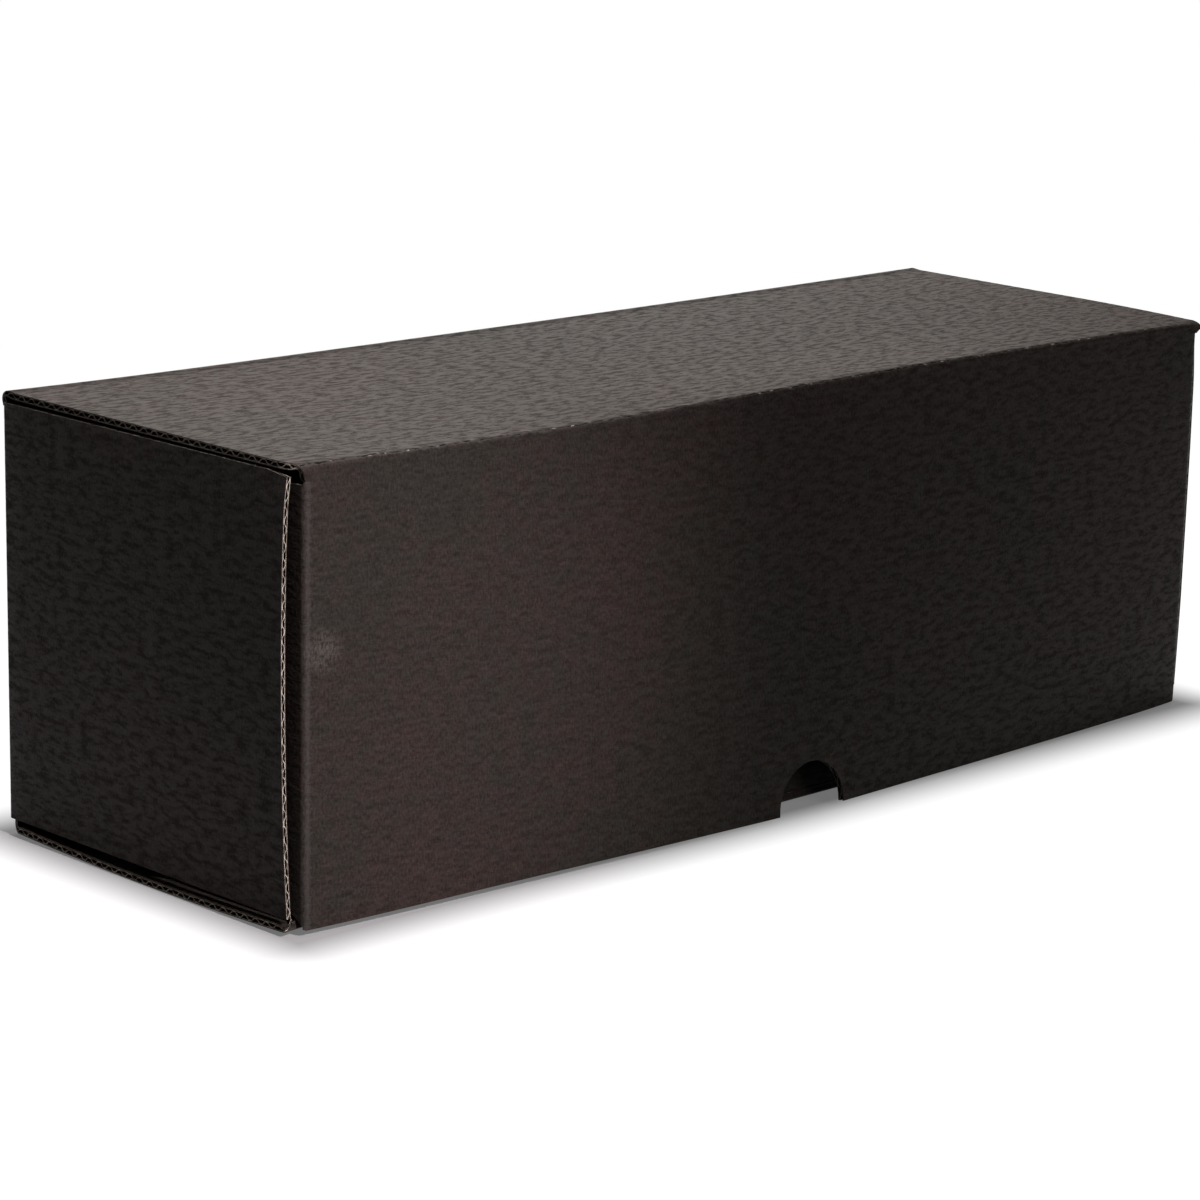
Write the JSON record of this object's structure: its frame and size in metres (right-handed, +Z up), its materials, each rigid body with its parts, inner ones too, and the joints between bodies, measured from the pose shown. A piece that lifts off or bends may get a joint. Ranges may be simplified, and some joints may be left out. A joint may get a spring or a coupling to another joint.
{
  "type": "mailer box",
  "caption": "Long black corrugated mailer box with a hinged lid, a front flap with folded ears and a thumb notch, standing closed on its base.",
  "frame": {"origin": "centre of the base's underside, midway between the flap's fold and the back wall", "axes": "+X along the box to its right end seen from the front, +Y from the front flap to the back wall, +Z up from the ground"},
  "size_m": [0.304, 0.1081, 0.102],
  "materials": {
    "board": "satin black paper facing on corrugated board",
    "cut_edge": "raw cut edge with open flutes"
  },
  "bodies": {
    "tray": {"tray": "board"},
    "lid": {"lid": "board"},
    "front_flap": {"front_flap": "board"}
  },
  "joints": [
    {"name": "lid_hinge", "type": "hinge", "parent": "tray", "child": "lid", "pos_m": [0, 0.0492, 0.1012], "axis": [-1, 0, 0], "range_deg": [0, 175]},
    {"name": "front_flap_fold", "type": "hinge", "parent": "lid", "child": "front_flap", "pos_m": [0, -0.0492, 0.1012], "axis": [-1, 0, 0], "range_deg": [0, 90]}
  ]
}
